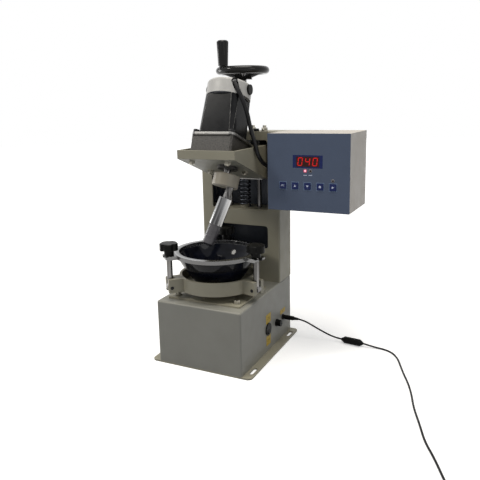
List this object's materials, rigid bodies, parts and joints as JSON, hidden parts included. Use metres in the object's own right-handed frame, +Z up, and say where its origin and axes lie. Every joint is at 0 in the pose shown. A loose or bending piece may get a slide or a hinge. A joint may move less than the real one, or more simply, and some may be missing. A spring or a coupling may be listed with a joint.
{
  "type": "analytical lab mill",
  "caption": "Bench mortar grinder: agate mortar on a motor turntable, slanted pestle driven by an inclined gearmotor on a column with a handwheel lift, and a control box with display.",
  "frame": {"origin": "centre of the base plate's underside, on the bench", "axes": "+Z up, +X to the right seen from the front, front is -Y"},
  "size_m": [0.5344, 0.5086, 0.566],
  "materials": {
    "body_paint": "satin",
    "plate_paint": "satin",
    "box_paint": "satin",
    "panel_paint": "satin",
    "steel": "brushed",
    "bright_steel": "polished",
    "aluminium": "machined",
    "gear_iron": "painted black",
    "motor_paint": "semi-gloss",
    "hub_paint": "satin",
    "black_plastic": "moulded",
    "gloss_black": "gloss",
    "key_plastic": "moulded",
    "display_red": "gloss",
    "agate": "polished",
    "cord_rubber": "matt",
    "board": "printed circuit board"
  },
  "bodies": {
    "stand": {"base_plate": "plate_paint", "base_housing": "body_paint", "column_shell": "body_paint", "column_back_cover": "body_paint", "column_top_plate": "body_paint", "spring_shelf": "body_paint", "guide_rods": "steel", "pressure_spring": "steel", "mortar_seat_plate": "plate_paint", "seat_plate_bolts": "steel", "spindle_bearing": "body_paint", "mortar_gearmotor": "gear_iron", "control_box_shell": "box_paint", "control_panel": "panel_paint", "display_window": "display_red", "control_board": "board", "switch_body": "black_plastic", "fuse_holder": "black_plastic", "supply_socket": "steel", "supply_plug": "black_plastic", "supply_lead": "cord_rubber", "ferrite_bead": "black_plastic", "bench_lead": "cord_rubber", "lead_coil": "cord_rubber", "mains_adapter": "black_plastic"},
    "carriage": {"carriage_block": "aluminium", "motor_tray": "body_paint", "drive_gearbox": "gear_iron", "gearbox_flange": "aluminium", "gearbox_bolts": "steel", "motor_body": "motor_paint", "motor_cap": "aluminium", "brush_caps": "black_plastic", "motor_cable": "cord_rubber"},
    "lift_wheel": {"handwheel": "black_plastic", "lead_screw": "steel"},
    "grip": {"handle_grip": "black_plastic"},
    "drive_head": {"drive_hub": "hub_paint", "output_shaft": "steel"},
    "pestle": {"agate_pestle": "agate", "pestle_sleeve": "bright_steel", "pestle_shaft": "steel"},
    "turntable": {"turntable_spindle": "steel", "mortar_cup": "body_paint", "agate_mortar": "agate", "clamp_ring": "bright_steel", "clamp_pins": "steel"},
    "clamp_1": {"clamp_rod_1": "steel"},
    "knob_1": {"star_knob_1": "black_plastic"},
    "clamp_2": {"clamp_rod_2": "steel"},
    "knob_2": {"star_knob_2": "black_plastic"},
    "clamp_3": {"clamp_rod_3": "steel"},
    "knob_3": {"star_knob_3": "black_plastic"},
    "power_rocker": {"rocker": "gloss_black"},
    "fuse_bayonet": {"fuse_cap": "gloss_black"},
    "button_1": {"key_1": "key_plastic"},
    "button_2": {"key_2": "key_plastic"},
    "button_3": {"key_3": "key_plastic"},
    "button_4": {"key_4": "key_plastic"},
    "button_5": {"key_5": "key_plastic"}
  },
  "joints": [
    {"name": "carriage_slide", "type": "slide", "parent": "stand", "child": "carriage", "axis": [0, 0, 1], "range_m": [-0.032, 0.008], "deforming": ["pressure_spring"]},
    {"name": "handwheel_turn", "type": "hinge", "parent": "carriage", "child": "lift_wheel", "pos_m": [0, 0.083, 0.5135], "axis": [0, 0, 1], "range_deg": [-2880, 720]},
    {"name": "grip_spin", "type": "hinge", "parent": "lift_wheel", "child": "grip", "pos_m": [-0.0215, 0.04576, 0.5435], "axis": [0, 0, 1], "continuous": true},
    {"name": "hub_spin", "type": "hinge", "parent": "carriage", "child": "drive_head", "pos_m": [0.018, -0.02612, 0.33362], "axis": [0, 0.342, 0.9397], "continuous": true},
    {"name": "pestle_spin", "type": "hinge", "parent": "drive_head", "child": "pestle", "pos_m": [0.0284, -0.03433, 0.31107], "axis": [0.2723, 0.3291, 0.9042], "continuous": true},
    {"name": "turntable_spin", "type": "hinge", "parent": "stand", "child": "turntable", "pos_m": [0, -0.037, 0.128], "axis": [0, 0, 1], "continuous": true},
    {"name": "clamp_1_swing", "type": "hinge", "parent": "turntable", "child": "clamp_1", "pos_m": [-0.02499, 0.04738, 0.141], "axis": [-0.9588, -0.284, 0], "range_deg": [0, 9]},
    {"name": "knob_1_turn", "type": "hinge", "parent": "clamp_1", "child": "knob_1", "pos_m": [-0.02499, 0.04738, 0.208], "axis": [0, 0, 1], "continuous": true},
    {"name": "clamp_2_swing", "type": "hinge", "parent": "turntable", "child": "clamp_2", "pos_m": [-0.06057, -0.10083, 0.141], "axis": [0.7254, -0.6884, 0], "range_deg": [0, 75]},
    {"name": "knob_2_turn", "type": "hinge", "parent": "clamp_2", "child": "knob_2", "pos_m": [-0.06057, -0.10083, 0.208], "axis": [0, 0, 1], "continuous": true},
    {"name": "clamp_3_swing", "type": "hinge", "parent": "turntable", "child": "clamp_3", "pos_m": [0.08557, -0.05754, 0.141], "axis": [0.2334, 0.9724, 0], "range_deg": [0, 75]},
    {"name": "knob_3_turn", "type": "hinge", "parent": "clamp_3", "child": "knob_3", "pos_m": [0.08557, -0.05754, 0.208], "axis": [0, 0, 1], "continuous": true},
    {"name": "power_rocker_tilt", "type": "hinge", "parent": "stand", "child": "power_rocker", "pos_m": [0.082, -0.001, 0.045], "axis": [0, 1, 0], "range_deg": [0, 16]},
    {"name": "fuse_cap_turn", "type": "hinge", "parent": "stand", "child": "fuse_bayonet", "pos_m": [0.082, 0.0395, 0.0425], "axis": [1, 0, 0], "range_deg": [0, 90]},
    {"name": "button_1_press", "type": "slide", "parent": "stand", "child": "button_1", "axis": [0, 1, 0], "range_m": [0, 0.0006], "stiffness_N_per_m": 600, "springref_m": -0.0002},
    {"name": "button_2_press", "type": "slide", "parent": "stand", "child": "button_2", "axis": [0, 1, 0], "range_m": [0, 0.0006], "stiffness_N_per_m": 600, "springref_m": -0.0002},
    {"name": "button_3_press", "type": "slide", "parent": "stand", "child": "button_3", "axis": [0, 1, 0], "range_m": [0, 0.0006], "stiffness_N_per_m": 600, "springref_m": -0.0002},
    {"name": "button_4_press", "type": "slide", "parent": "stand", "child": "button_4", "axis": [0, 1, 0], "range_m": [0, 0.0006], "stiffness_N_per_m": 600, "springref_m": -0.0002},
    {"name": "button_5_press", "type": "slide", "parent": "stand", "child": "button_5", "axis": [0, 1, 0], "range_m": [0, 0.0006], "stiffness_N_per_m": 600, "springref_m": -0.0002}
  ],
  "couplings": [
    {"joint": "handwheel_turn", "follows": "carriage_slide", "rad_per_m": 1570.8}
  ]
}
